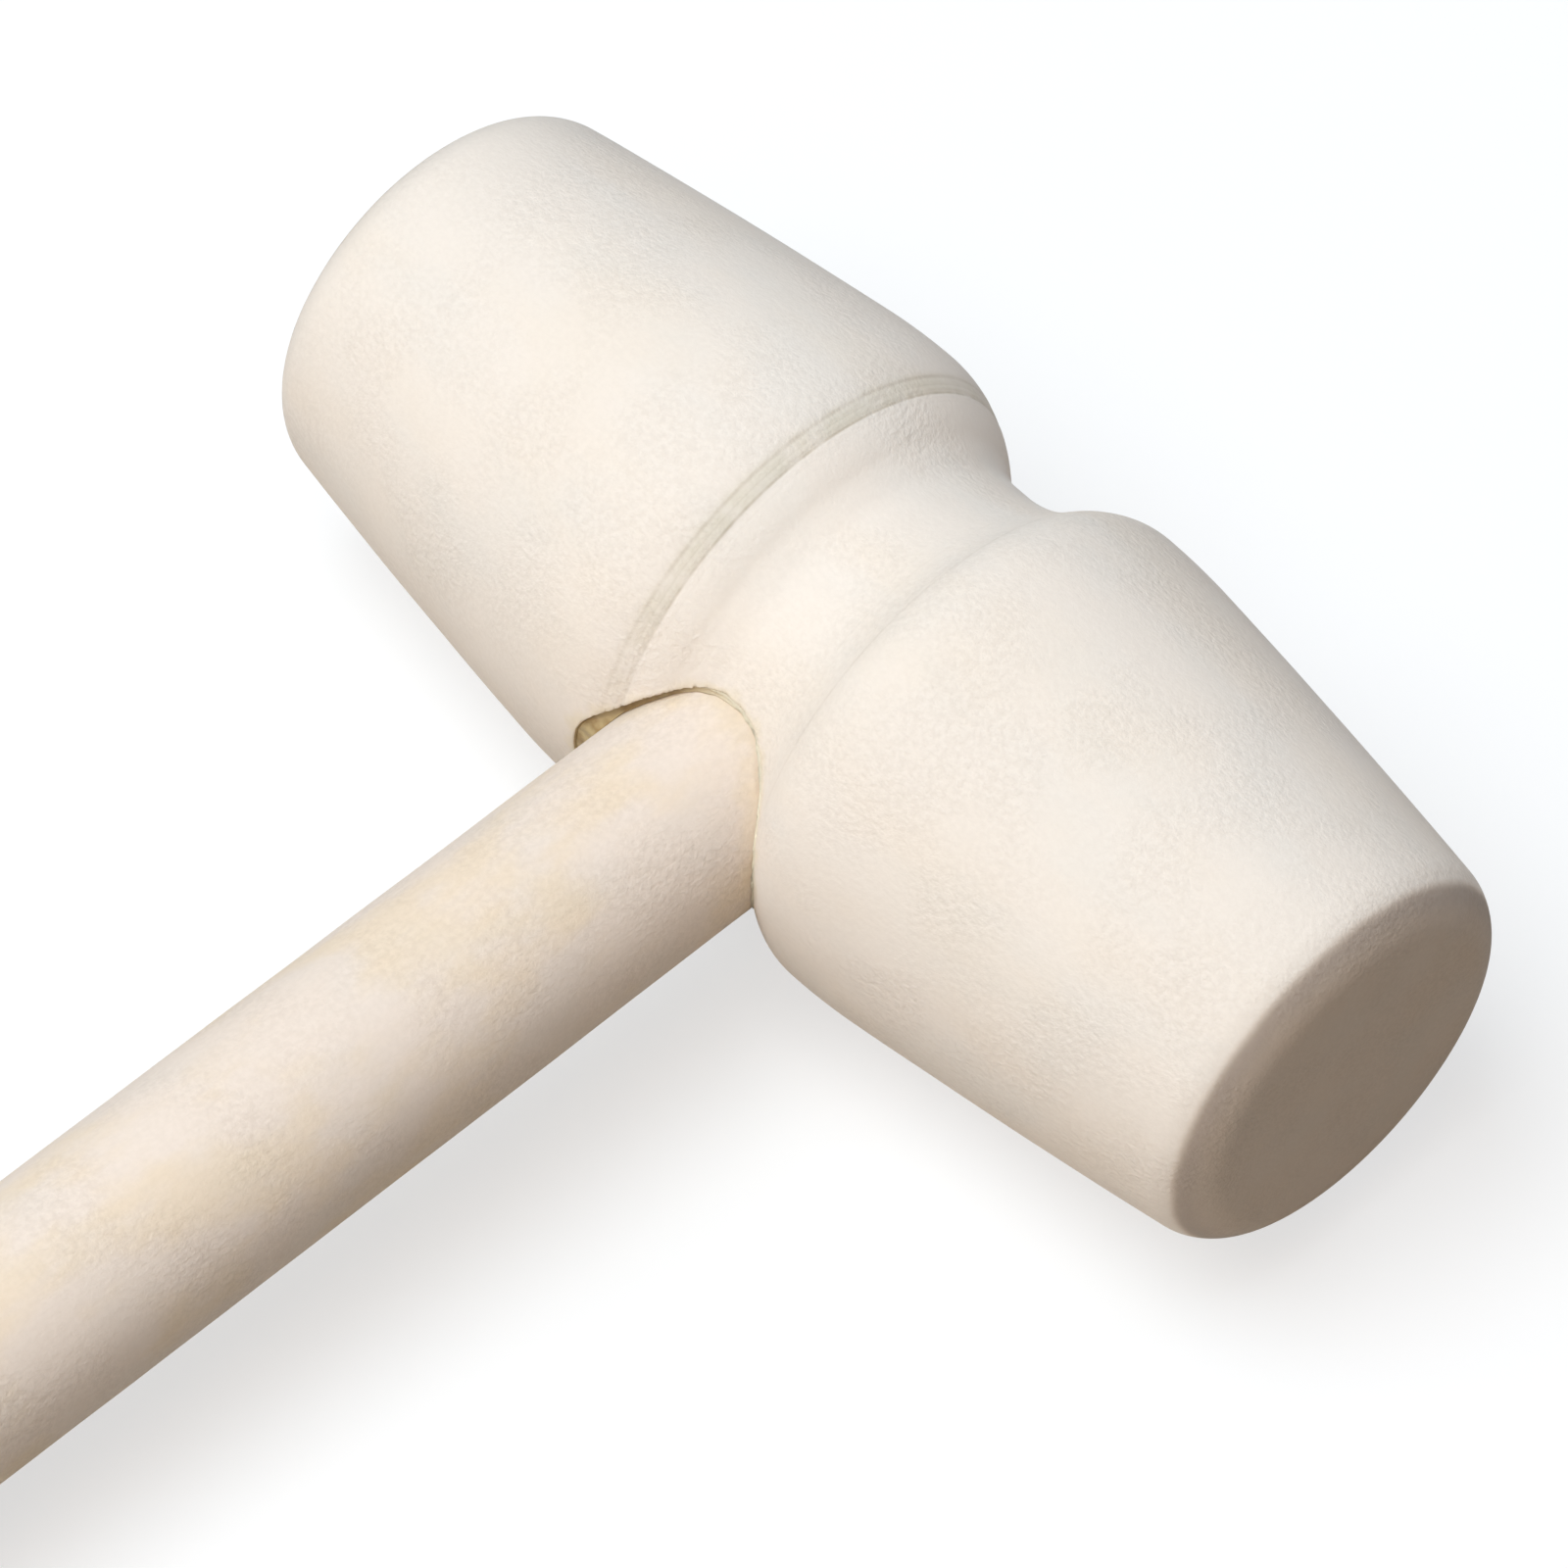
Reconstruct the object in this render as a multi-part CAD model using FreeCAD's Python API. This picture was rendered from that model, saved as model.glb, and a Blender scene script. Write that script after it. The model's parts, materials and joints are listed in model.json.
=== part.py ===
import FreeCAD
import Part
import math
import os

# A small turned wooden mallet: a waisted head of two tapering barrels, a plain dowel handle
# glued into a blind hole in the waist, and the glue itself.
#
# Every piece is first drawn in the mallet's own axes, with the origin where the handle's
# line crosses the middle of the head: +X runs along the handle to the butt and +Y runs
# along the head.  lay_down() then tips the mallet until it lies at rest on the plane
# z = 0, on the two shoulders of the head and the edge of the butt, with the origin under
# the middle of its bounding box.
#
# All lengths are in millimetres and all angles in degrees.

# Head, turned about Y
HEAD_LENGTH = 60.0
SHOULDER_RADIUS = 12.75
SHOULDER_PLACE = 7.0           # from the middle of the head to the widest ring of a barrel
WAIST_RADIUS = 10.15
WAIST_FLAT = 0.9               # width of the straight bottom of the waist
LEFT_WAIST_FILLET = 3.1        # hollow radius beside the left barrel, at -Y
RIGHT_WAIST_FILLET = 5.8       # the softer hollow beside the right barrel, at +Y
CROWN_RADIUS = 30.0            # first curve of a barrel, outwards from its shoulder
CROWN_TURN = 6.6
BELLY_RADIUS = 400.0           # the long, nearly straight taper
RIM_RADIUS = 2.7               # round edge of a striking face

# Blind hole for the handle, drilled along X with a brad-point bit
BORE_RADIUS = 5.35
BORE_SHIFT = -0.05             # along Y: the hole is a little off the middle of the waist
BORE_END = -4.5                # past the head's own axis
SPUR_RADIUS = 1.0
SPUR_DEPTH = 1.2

# Handle, a plain dowel along X
HANDLE_RADIUS = 5.15
HANDLE_SHIFT = 0.13            # the dowel leans on the right side of its loose hole
TENON_RADIUS = 5.1             # the glued end is sanded a hair under the grip
TENON_END = -4.0
TENON_CHAMFER = 0.5
TENON_TAPER = 1.0              # length over which the sanding fades out
GRIP_START = 13.0              # from the head's axis, just clear of the shoulders
OVERALL_LENGTH = 145.0         # from the back of the shoulders to the butt, along the handle
BUTT_FILLET = 2.0

# Glue between the dowel and the hole
GLUE_LEVEL = 8.2               # how far the glue comes up the hole

X_AXIS = FreeCAD.Vector(1, 0, 0)
Y_AXIS = FreeCAD.Vector(0, 1, 0)
CENTRE = FreeCAD.Vector(0, 0, 0)
BUTT_END = OVERALL_LENGTH - SHOULDER_RADIUS

# Centre of the butt's rounding, along the handle and out from its line
ROUNDING_ALONG = BUTT_END - BUTT_FILLET
ROUNDING_OUT = HANDLE_RADIUS - BUTT_FILLET


class Outline:
    """A chain of tangent lines and arcs in the X-Y plane, drawn from one point."""

    def __init__(self, along, out, side):
        """Start at a distance along the head and out from its axis; side is +1 or -1."""
        self.along = along
        self.out = out
        self.slope = 0.0
        self.side = side
        self.edges = []

    def point(self, along, out):
        return FreeCAD.Vector(out, self.side * along, 0)

    def here(self):
        return self.point(self.along, self.out)

    def line(self, length):
        start = self.here()
        self.along += length * math.cos(self.slope)
        self.out += length * math.sin(self.slope)
        self.edges.append(Part.LineSegment(start, self.here()).toShape())

    def arc(self, radius, slope):
        """Curve to the given slope: outwards when it is more than now, inwards when less."""
        hand = 1.0 if slope > self.slope else -1.0
        middle = (self.slope + slope) / 2
        centre_along = self.along - hand * radius * math.sin(self.slope)
        centre_out = self.out + hand * radius * math.cos(self.slope)

        def on_arc(angle):
            return (centre_along + hand * radius * math.sin(angle),
                    centre_out - hand * radius * math.cos(angle))

        start = self.here()
        through = self.point(*on_arc(middle))
        self.along, self.out = on_arc(slope)
        self.slope = slope
        self.edges.append(Part.Arc(start, through, self.here()).toShape())


def half_outline(side, fillet):
    """Outline of one barrel, from the middle of the waist to the middle of its face."""
    run = SHOULDER_PLACE - WAIST_FLAT / 2
    rise = SHOULDER_RADIUS - WAIST_RADIUS
    radii = (run ** 2 + rise ** 2) / (2 * rise)
    wall = math.asin(run / radii)
    crown = math.radians(CROWN_TURN)
    crown_end = SHOULDER_PLACE + CROWN_RADIUS * math.sin(crown)
    belly_rise = HEAD_LENGTH / 2 - crown_end - RIM_RADIUS + BELLY_RADIUS * math.sin(crown)
    belly = math.asin(belly_rise / (BELLY_RADIUS - RIM_RADIUS))

    outline = Outline(0.0, WAIST_RADIUS, side)
    outline.line(WAIST_FLAT / 2)
    outline.arc(fillet, wall)
    outline.arc(radii - fillet, 0.0)
    outline.arc(CROWN_RADIUS, -crown)
    outline.arc(BELLY_RADIUS, -belly)
    outline.arc(RIM_RADIUS, -math.pi / 2)
    outline.line(outline.out)
    return outline.edges


def spin(edges, start, end):
    """Close a half outline along its axis, from end back to start, and turn it solid."""
    closing = Part.LineSegment(end, start).toShape()
    face = Part.Face(Part.Wire(edges + [closing]))
    solid = face.revolve(start, end - start, 360)
    if solid.Volume < 0:
        solid.reverse()
    return solid


def drilled(level):
    """What the bit cuts away, up to a level along X, with the mark of its spur at the end."""
    start = FreeCAD.Vector(BORE_END, BORE_SHIFT, 0)
    hole = Part.makeCylinder(BORE_RADIUS, level - BORE_END, start, X_AXIS)
    spur_tip = start - X_AXIS * SPUR_DEPTH
    spur = Part.makeCone(0, SPUR_RADIUS, SPUR_DEPTH, spur_tip, X_AXIS)
    return hole.fuse(spur)


def make_head():
    half = HEAD_LENGTH / 2
    left = half_outline(-1, LEFT_WAIST_FILLET)
    right = half_outline(1, RIGHT_WAIST_FILLET)
    outline = list(reversed(left)) + right
    turned = spin(outline, Y_AXIS * -half, Y_AXIS * half)
    return turned.cut(drilled(GRIP_START))


def make_handle():
    def at(along, out):
        return FreeCAD.Vector(along, HANDLE_SHIFT + out, 0)

    corners = [
        at(TENON_END, 0),
        at(TENON_END, TENON_RADIUS - TENON_CHAMFER),
        at(TENON_END + TENON_CHAMFER, TENON_RADIUS),
        at(GRIP_START - TENON_TAPER, TENON_RADIUS),
        at(GRIP_START, HANDLE_RADIUS),
        at(ROUNDING_ALONG, HANDLE_RADIUS),
    ]
    outline = [Part.LineSegment(a, b).toShape() for a, b in zip(corners, corners[1:])]
    bulge = BUTT_FILLET * (1 - math.sqrt(0.5))
    face_edge = at(BUTT_END, ROUNDING_OUT)
    rounding = Part.Arc(corners[-1], at(BUTT_END - bulge, HANDLE_RADIUS - bulge), face_edge)
    butt = Part.LineSegment(face_edge, at(BUTT_END, 0))
    outline += [rounding.toShape(), butt.toShape()]
    return spin(outline, at(TENON_END, 0), at(BUTT_END, 0))


def make_glue(handle):
    """The film between the dowel and the hole, up to the level where the glue stopped."""
    return drilled(GLUE_LEVEL).cut(handle)


def rest_angle():
    """How far the butt drops when the mallet lies on its shoulders and the butt's edge."""
    reach = math.hypot(ROUNDING_ALONG, ROUNDING_OUT)
    drop = math.asin((SHOULDER_RADIUS - BUTT_FILLET) / reach)
    return drop - math.atan2(ROUNDING_OUT, ROUNDING_ALONG)


def lay_down(shape):
    """Tip a shape from the mallet's own axes onto the plane where the mallet rests."""
    angle = rest_angle()
    far_end = (ROUNDING_ALONG * math.cos(angle) + ROUNDING_OUT * math.sin(angle)
               + BUTT_FILLET)
    middle = (far_end - SHOULDER_RADIUS) / 2
    laid = shape.copy()
    laid.rotate(CENTRE, Y_AXIS, math.degrees(angle))
    laid.translate(FreeCAD.Vector(-middle, 0, SHOULDER_RADIUS))
    return laid


def one_solid(shape):
    """The single valid solid in a shape."""
    solids = shape.Solids
    if len(solids) != 1 or not solids[0].isValid():
        raise RuntimeError("a piece is not one valid solid")
    return solids[0]


def main():
    os.makedirs("parts", exist_ok=True)
    handle = make_handle()
    pieces = {
        "turned_head": make_head(),
        "dowel_handle": handle,
        "glue_joint": make_glue(handle),
    }
    for name, shape in pieces.items():
        solid = one_solid(lay_down(one_solid(shape)))
        solid.exportStep(f"parts/{name}.step")
        box = solid.BoundBox
        print(f"{name}: {solid.Volume:.1f} mm3, "
              f"x {box.XMin:.3f} to {box.XMax:.3f}, y {box.YMin:.3f} to {box.YMax:.3f}, "
              f"z {box.ZMin:.3f} to {box.ZMax:.3f}")
    print(f"the handle drops {math.degrees(rest_angle()):.4f} degrees towards the butt")


main()
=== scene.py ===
import json
import math

import bmesh
import bpy
from bpy.props import FloatProperty, FloatVectorProperty, IntProperty, PointerProperty
from mathutils import Matrix, Vector, kdtree, noise


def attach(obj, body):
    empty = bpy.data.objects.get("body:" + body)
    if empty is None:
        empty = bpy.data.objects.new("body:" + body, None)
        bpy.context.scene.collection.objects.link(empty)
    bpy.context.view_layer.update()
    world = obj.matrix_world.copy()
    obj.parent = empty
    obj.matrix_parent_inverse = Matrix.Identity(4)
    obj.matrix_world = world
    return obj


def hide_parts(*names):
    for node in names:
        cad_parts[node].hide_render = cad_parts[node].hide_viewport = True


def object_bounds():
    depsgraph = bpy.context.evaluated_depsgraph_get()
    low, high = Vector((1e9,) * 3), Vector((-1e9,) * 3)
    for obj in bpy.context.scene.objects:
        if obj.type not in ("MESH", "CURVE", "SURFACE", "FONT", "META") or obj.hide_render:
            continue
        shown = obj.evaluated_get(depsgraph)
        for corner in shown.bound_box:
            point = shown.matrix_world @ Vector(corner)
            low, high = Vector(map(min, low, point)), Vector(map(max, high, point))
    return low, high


bl_info = {
    "name": "Small Wooden Mallet",
    "version": (1, 0, 0),
    "blender": (4, 5, 0),
    "location": "View3D > Sidebar > Mallet",
    "description": "Turns the head, rounds the handle, runs the glue and sets the stage",
    "category": "Object",
}

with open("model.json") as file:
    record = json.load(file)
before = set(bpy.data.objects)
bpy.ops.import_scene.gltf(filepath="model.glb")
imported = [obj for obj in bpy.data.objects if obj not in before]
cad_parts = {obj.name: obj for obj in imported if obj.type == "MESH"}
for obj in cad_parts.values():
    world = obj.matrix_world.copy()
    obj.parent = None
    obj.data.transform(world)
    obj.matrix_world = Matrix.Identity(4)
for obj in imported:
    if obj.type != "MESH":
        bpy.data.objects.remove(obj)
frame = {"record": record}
CAD_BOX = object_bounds()

# Every piece is shaped in millimetres on its own lathe line, local Z, and is then laid into
# the row's frame in metres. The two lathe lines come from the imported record's mounts.
MM = 0.001


def mount(name):
    return next(m for m in frame["record"]["mounts"] if m["name"] == name)


LEFT_FACE = Vector(mount("left_striking_face")["pos_m"])
RIGHT_FACE = Vector(mount("right_striking_face")["pos_m"])
BUTT = Vector(mount("butt")["pos_m"])
HANDLE_LINE = Vector(mount("grip")["axis"]).normalized()
HEAD_LINE = (RIGHT_FACE - LEFT_FACE).normalized()
HEAD_CENTRE = (LEFT_FACE + RIGHT_FACE) / 2

HEAD_LENGTH = (RIGHT_FACE - LEFT_FACE).length / MM
SHOULDER_RADIUS = (CAD_BOX[1].z - CAD_BOX[0].z) / 2 / MM
HANDLE_RADIUS = mount("grip")["dims"]["r_mm"]
HANDLE_SHIFT = (BUTT - HEAD_CENTRE).dot(HEAD_LINE) / MM
BUTT_REACH = (BUTT - HEAD_CENTRE).dot(HANDLE_LINE) / MM


def lathe_frame(centre, line, across):
    """Place of a piece whose local Z is its lathe line, in metres and unscaled."""
    third = line.cross(across)
    turn = Matrix((across, third, line)).transposed()
    return Matrix.Translation(centre) @ turn.to_4x4()


HEAD_FRAME = lathe_frame(HEAD_CENTRE, HEAD_LINE, HANDLE_LINE)
HANDLE_FRAME = lathe_frame(
    HEAD_CENTRE + HEAD_LINE * HANDLE_SHIFT * MM, HANDLE_LINE, HEAD_LINE)


# ---------------------------------------------------------------- sizes and colours

def length(name, default, description):
    """A length in millimetres."""
    return FloatProperty(name=name, default=default, description=description, precision=3)


def colour(name, default, description):
    return FloatVectorProperty(name=name, default=default, description=description,
                               subtype="COLOR", size=3, min=0, max=1)


class HeadSettings(bpy.types.PropertyGroup):
    shoulder_place: length("Shoulder place", 7.0, "Middle of the head to a barrel's widest ring")
    waist_radius: length("Waist radius", 10.15, "Radius at the bottom of the waist")
    waist_flat: length("Waist flat", 0.9, "Width of the straight bottom of the waist")
    left_fillet: length("Left hollow", 3.1, "Hollow radius beside the left barrel")
    right_fillet: length("Right hollow", 5.8, "Hollow radius beside the right barrel")
    crown_radius: length("Crown radius", 30.0, "First curve of a barrel, out from its shoulder")
    belly_radius: length("Belly radius", 400.0, "Long curve of a barrel's taper")
    rim_radius: length("Rim radius", 2.7, "Round edge of a striking face")
    crown_turn: FloatProperty(name="Crown turn", default=math.radians(6.6), subtype="ANGLE",
                              unit="ROTATION", description="Slope where the crown ends")
    bore_radius: length("Bore radius", 5.35, "Radius of the hole for the handle")
    bore_shift: length("Bore shift", -0.05, "How far the hole is off the middle of the waist")
    bore_end: length("Bore end", -4.5, "Where the hole stops, past the head's own axis")
    tear: length("Torn mouth", 0.6, "How far the left of the hole's mouth is torn wider")
    unevenness: length("Unevenness", 0.05, "Deepest hollow left by hand sanding")
    mouth_softness: length("Mouth softness", 0.22, "Width of the eased edge round the hole")
    sides: IntProperty(name="Sides", default=240, min=24, description="Faces round the head")
    wood: colour("Wood", (0.755, 0.675, 0.6), "Bare sanded wood of the head")
    end_grain: colour("End grain", (0.56, 0.45, 0.36), "Wood cut across its fibres")
    fibre: colour("Fibre", (0.60, 0.52, 0.44), "Darker fibres and growth rings")


class HandleSettings(bpy.types.PropertyGroup):
    tenon_radius: length("Tenon radius", 5.15, "Radius of the end that is glued in")
    tenon_end: length("Tenon end", -4.0, "Where the glued end stops, past the head's axis")
    grip_start: length("Grip start", 13.0, "Where the dowel reaches its full radius")
    tenon_taper: length("Tenon taper", 1.0, "Length over which it does so")
    butt_fillet: length("Butt rounding", 2.0, "Radius of the butt's edge")
    crown: length("Butt crown", 0.25, "How far the rim of the butt's flat lies behind its middle")
    unevenness: length("Unevenness", 0.06, "Deepest hollow left by hand sanding")
    sides: IntProperty(name="Sides", default=160, min=24, description="Faces round the dowel")
    wood: colour("Wood", (0.75, 0.638, 0.55), "Bare wood of the dowel")
    end_grain: colour("End grain", (0.56, 0.45, 0.33), "Wood cut across its fibres")
    fibre: colour("Fibre", (0.58, 0.46, 0.33), "Darker fibres and growth rings")


class GlueSettings(bpy.types.PropertyGroup):
    full_depth: length("Full depth", -0.05, "Depth where it was wiped flush. Below 0 is proud")
    pool_depth: length("Pool depth", 0.15, "Depth below the torn left side of the mouth")
    sunk_depth: length("Sunk depth", 0.6, "Depth below the mouth where the glue sank away")
    meniscus: length("Meniscus", 0.05, "How far the glue climbs the wood on both sides")
    sides: IntProperty(name="Sides", default=192, min=24, description="Faces round the joint")
    thin: colour("Thin glue", (0.42, 0.32, 0.165), "Where the glue is thin and lit")
    thick: colour("Thick glue", (0.28, 0.18, 0.07), "Where the glue is thick or dirty")
    wiped: colour("Wiped glue", (0.7, 0.62, 0.47), "Pale film where the glue was wiped flush")


class StageSettings(bpy.types.PropertyGroup):
    azimuth: FloatProperty(name="Azimuth", default=math.radians(133.07), subtype="ANGLE",
                           unit="ROTATION", description="0 looks along +Y, 90 along -X")
    elevation: FloatProperty(name="Elevation", default=math.radians(52.55), subtype="ANGLE",
                             unit="ROTATION", description="Camera's height above the floor")
    roll: FloatProperty(name="Roll", default=math.radians(4.73), subtype="ANGLE",
                        unit="ROTATION", description="Camera's turn about its own line")
    distance: FloatProperty(name="Distance", default=0.4187, unit="LENGTH", subtype="DISTANCE",
                            description="Camera to the point that it aims at")
    aim: FloatVectorProperty(name="Aim", default=(5.68, 0.42, -3.40), size=3,
                             description="Point aimed at, from the head's centre, in mm")
    lens: FloatProperty(name="Lens", default=216.0, description="Focal length in mm")
    floor_radius: FloatProperty(name="Floor radius", default=2.5, unit="LENGTH",
                                subtype="DISTANCE", description="How far the floor reaches")
    floor_colour: colour("Floor", (0.9, 0.9, 0.9), "Pale plain floor")
    floor_bounce: colour("Floor bounce", (0.58, 0.53, 0.47), "Its colour for bounced light")
    floor_glow: FloatProperty(name="Floor glow", default=0.65, min=0, max=1,
                              description="Share of its brightness that it gives by itself")


# ---------------------------------------------------------------- shaping tools

class OutlinePen:
    """Draws a chain of tangent lines and arcs in the local XZ plane, Z along the lathe line."""

    def __init__(self, bm, tip, side=1):
        self.bm = bm
        self.tip = tip
        self.side = side
        self.slope = 0.0

    @property
    def out(self):
        return self.tip.co.x

    def move(self, along, out, steps):
        """Draw a straight line."""
        step = Vector((out, 0, self.side * along)) / steps
        for _ in range(steps):
            made = bmesh.ops.extrude_vert_indiv(self.bm, verts=[self.tip])
            self.tip = made["verts"][0]
            bmesh.ops.translate(self.bm, verts=[self.tip], vec=step)

    def line(self, distance, spacing):
        """Go on straight ahead."""
        steps = max(1, math.ceil(distance / spacing))
        self.move(distance * math.cos(self.slope), distance * math.sin(self.slope), steps)

    def arc(self, radius, slope, spacing):
        """Curve to the given slope: outwards when it is more than now, inwards when less."""
        hand = 1 if slope > self.slope else -1
        toward = Vector((math.cos(self.slope), 0, -self.side * math.sin(self.slope)))
        turn = slope - self.slope
        made = bmesh.ops.spin(
            self.bm, geom=[self.tip], cent=self.tip.co + toward * hand * radius,
            axis=(0, 1, 0), angle=self.side * turn, use_duplicate=False,
            steps=max(1, math.ceil(radius * abs(turn) / spacing)))
        self.tip = next(v for v in made["geom_last"] if isinstance(v, bmesh.types.BMVert))
        self.slope = slope


def turn_solid(bm, sides):
    """Spin the drawn outline round the lathe line and close its seam and poles."""
    bmesh.ops.spin(bm, geom=bm.verts[:] + bm.edges[:], cent=(0, 0, 0), axis=(0, 0, 1),
                   angle=2 * math.pi, steps=sides, use_merge=True)
    bmesh.ops.remove_doubles(bm, verts=bm.verts[:], dist=1e-4)
    bmesh.ops.recalc_face_normals(bm, faces=bm.faces[:])


def bump(value, centre, width):
    """1 at the centre, fading to 0 at about two widths away."""
    return math.exp(-((value - centre) / width) ** 2)


def ease(value, low, high):
    """0 below low, 1 above high and smooth between."""
    share = min(1.0, max(0.0, (value - low) / (high - low)))
    return share * share * (3 - 2 * share)


def press_in(bm, depth_at):
    """Push every vertex into the wood, against its normal, by depth_at(place) millimetres."""
    bm.normal_update()
    moves = [v.normal * -depth_at(v.co) for v in bm.verts]
    for vert, move in zip(bm.verts, moves):
        vert.co += move


def new_object(bm, name, materials):
    mesh = bpy.data.meshes.new(name)
    bm.to_mesh(mesh)
    for material in materials:
        mesh.materials.append(material)
    piece = bpy.data.objects.new(name, mesh)
    bpy.context.scene.collection.objects.link(piece)
    return piece


def hand_over(bm, name, materials, place, node):
    """Lay a shaped piece into the row's frame and let it stand for its CAD node."""
    bmesh.ops.transform(bm, matrix=place @ Matrix.Scale(MM, 4), verts=bm.verts[:])
    bmesh.ops.recalc_face_normals(bm, faces=bm.faces[:])
    for face in bm.faces:
        face.smooth = True
    piece = new_object(bm, name, materials)
    bm.free()
    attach(piece, "root")
    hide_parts(node)


# ---------------------------------------------------------------- the head

def wall_angle(head):
    """Steepest slope of the waist's walls, and the two radii's sum that gives it."""
    run = head.shoulder_place - head.waist_flat / 2
    rise = SHOULDER_RADIUS - head.waist_radius
    radii = (run ** 2 + rise ** 2) / (2 * rise)
    return math.asin(run / radii), radii


def draw_barrel(bm, start, side, fillet, head):
    """Outline of one barrel, from the middle of the waist to the middle of its face."""
    wall, radii = wall_angle(head)
    crown = head.crown_turn
    crown_end = head.shoulder_place + head.crown_radius * math.sin(crown)
    belly_run = HEAD_LENGTH / 2 - crown_end - head.rim_radius
    belly = math.asin((belly_run + head.belly_radius * math.sin(crown))
                      / (head.belly_radius - head.rim_radius))
    pen = OutlinePen(bm, start, side)
    pen.line(head.waist_flat / 2, 0.15)
    pen.arc(fillet, wall, 0.12)
    pen.arc(radii - fillet, 0.0, 0.07)
    pen.arc(head.crown_radius, -crown, 0.3)
    pen.arc(head.belly_radius, -belly, 0.45)
    pen.arc(head.rim_radius, -math.pi / 2, 0.2)
    pen.line(pen.out, 0.8)


# Rings left by the turning tool on the walls of the waist: place along the head, half
# width and depth in millimetres. The left wall has a narrow cut step between two of them,
# given by its start, end and depth.
TOOL_RINGS = ((-4.87, 0.12, 0.02), (-4.48, 0.06, 0.01), (-4.10, 0.09, 0.045),
              (-3.72, 0.06, 0.006), (4.58, 0.10, 0.012), (3.05, 0.08, 0.005))
TOOL_STEP = (-4.87, -4.10, 0.02)

# The rings lie this near to the middle of the head.
RINGS_REACH = 6.5


def ring_fade(place):
    """How clean a tool ring still is here: sanding rubbed it away in stretches."""
    angle = math.atan2(place.y, place.x)
    drift = noise.noise(Vector((3 * math.cos(angle), 3 * math.sin(angle), place.z * 0.6)))
    return min(1.0, max(0.15, 0.75 + 1.3 * drift))


def head_hollow(place, depth):
    """Depth that sanding and the turning tool took off the head at this place."""
    broad = noise.noise(place * 0.16) + 0.5 * noise.noise(place * 0.37 + Vector((7, 3, 1)))
    taken = depth * (0.5 + 0.33 * broad)
    if abs(place.z) < RINGS_REACH:
        rings = sum(bump(place.z, at, wide) * deep for at, wide, deep in TOOL_RINGS)
        low, high, deep = TOOL_STEP
        step = deep * ease(place.z, low, low + 0.1) * (1 - ease(place.z, high - 0.05, high))
        taken += (rings + step) * ring_fade(place)
    return taken


# The drilled hole: faces round it, where its fine rings start and how far apart they are.
BORE_SIDES = 224
MOUTH_START = 7.0
MOUTH_SPACING = 0.25

# The tear begins and is full this far out from the head's axis, and is full and gone at
# these angles from the left.
TEAR_OUT = (9.5, 12.5)
TEAR_TURN = (math.radians(8), math.radians(42))


def from_left(angle):
    """Angle from the left of the hole, where 0 is the right and a quarter turn the top."""
    return abs(math.atan2(math.sin(angle - math.pi), math.cos(angle - math.pi)))


def bore_radius_at(angle, out, head):
    """Radius of the hole: the left of its mouth is torn wider towards the surface."""
    torn = 1 - ease(from_left(angle), *TEAR_TURN)
    return head.bore_radius + head.tear * torn * ease(out, *TEAR_OUT)


def drill_cutter(head):
    """The drill's shape, in the head's own axes: local X is the handle's line."""
    bm = bmesh.new()
    bmesh.ops.create_circle(bm, cap_ends=True, segments=BORE_SIDES, radius=head.bore_radius)
    bmesh.ops.rotate(bm, verts=bm.verts[:], matrix=Matrix.Rotation(math.pi / 2, 3, "Y"))
    bmesh.ops.translate(bm, verts=bm.verts[:], vec=(head.bore_end, 0, head.bore_shift))
    reach = SHOULDER_RADIUS + 1
    steps = math.ceil((reach - MOUTH_START) / MOUTH_SPACING)
    rim = bm.edges[:]
    for distance in [MOUTH_START - head.bore_end] + [(reach - MOUTH_START) / steps] * steps:
        made = bmesh.ops.extrude_edge_only(bm, edges=rim)["geom"]
        verts = {v for v in made if isinstance(v, bmesh.types.BMVert)}
        bmesh.ops.translate(bm, verts=list(verts), vec=(distance, 0, 0))
        rim = [e for e in made if isinstance(e, bmesh.types.BMEdge) and verts.issuperset(e.verts)]
    bmesh.ops.edgeloop_fill(bm, edges=rim)
    for vert in bm.verts:
        along = vert.co.z - head.bore_shift
        angle = math.atan2(-vert.co.y, along)
        radius = bore_radius_at(angle, vert.co.x, head)
        vert.co.y = -radius * math.sin(angle)
        vert.co.z = head.bore_shift + radius * math.cos(angle)
    bmesh.ops.recalc_face_normals(bm, faces=bm.faces[:])
    for face in bm.faces:
        face.material_index = 1
    return bm


def waist_radius_at(along, head):
    """Radius of the head at a place between its two shoulders."""
    wall, radii = wall_angle(head)
    fillet = head.right_fillet if along > 0 else head.left_fillet
    run = min(head.shoulder_place, abs(along)) - head.waist_flat / 2
    if run <= 0:
        return head.waist_radius
    if run <= fillet * math.sin(wall):
        return head.waist_radius + fillet - math.sqrt(fillet ** 2 - run ** 2)
    crest = radii - fillet
    left = head.shoulder_place - min(head.shoulder_place, abs(along))
    return SHOULDER_RADIUS - crest + math.sqrt(crest ** 2 - left ** 2)


def mouth_point(angle, head):
    """Where the hole's mouth meets the head's surface at this angle, in the head's axes."""
    radius = head.bore_radius
    for _ in range(4):
        along = head.bore_shift + radius * math.cos(angle)
        across = -radius * math.sin(angle)
        out = math.sqrt(waist_radius_at(along, head) ** 2 - across ** 2)
        radius = bore_radius_at(angle, out, head)
    return Vector((out, across, along))


def mouth_tree(head):
    """Points along the bore's mouth, to measure distances from the joint."""
    count = 720
    tree = kdtree.KDTree(count)
    for i in range(count):
        angle = 2 * math.pi * i / count
        tree.insert(mouth_point(angle, head), i)
    tree.balance()
    return tree


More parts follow.
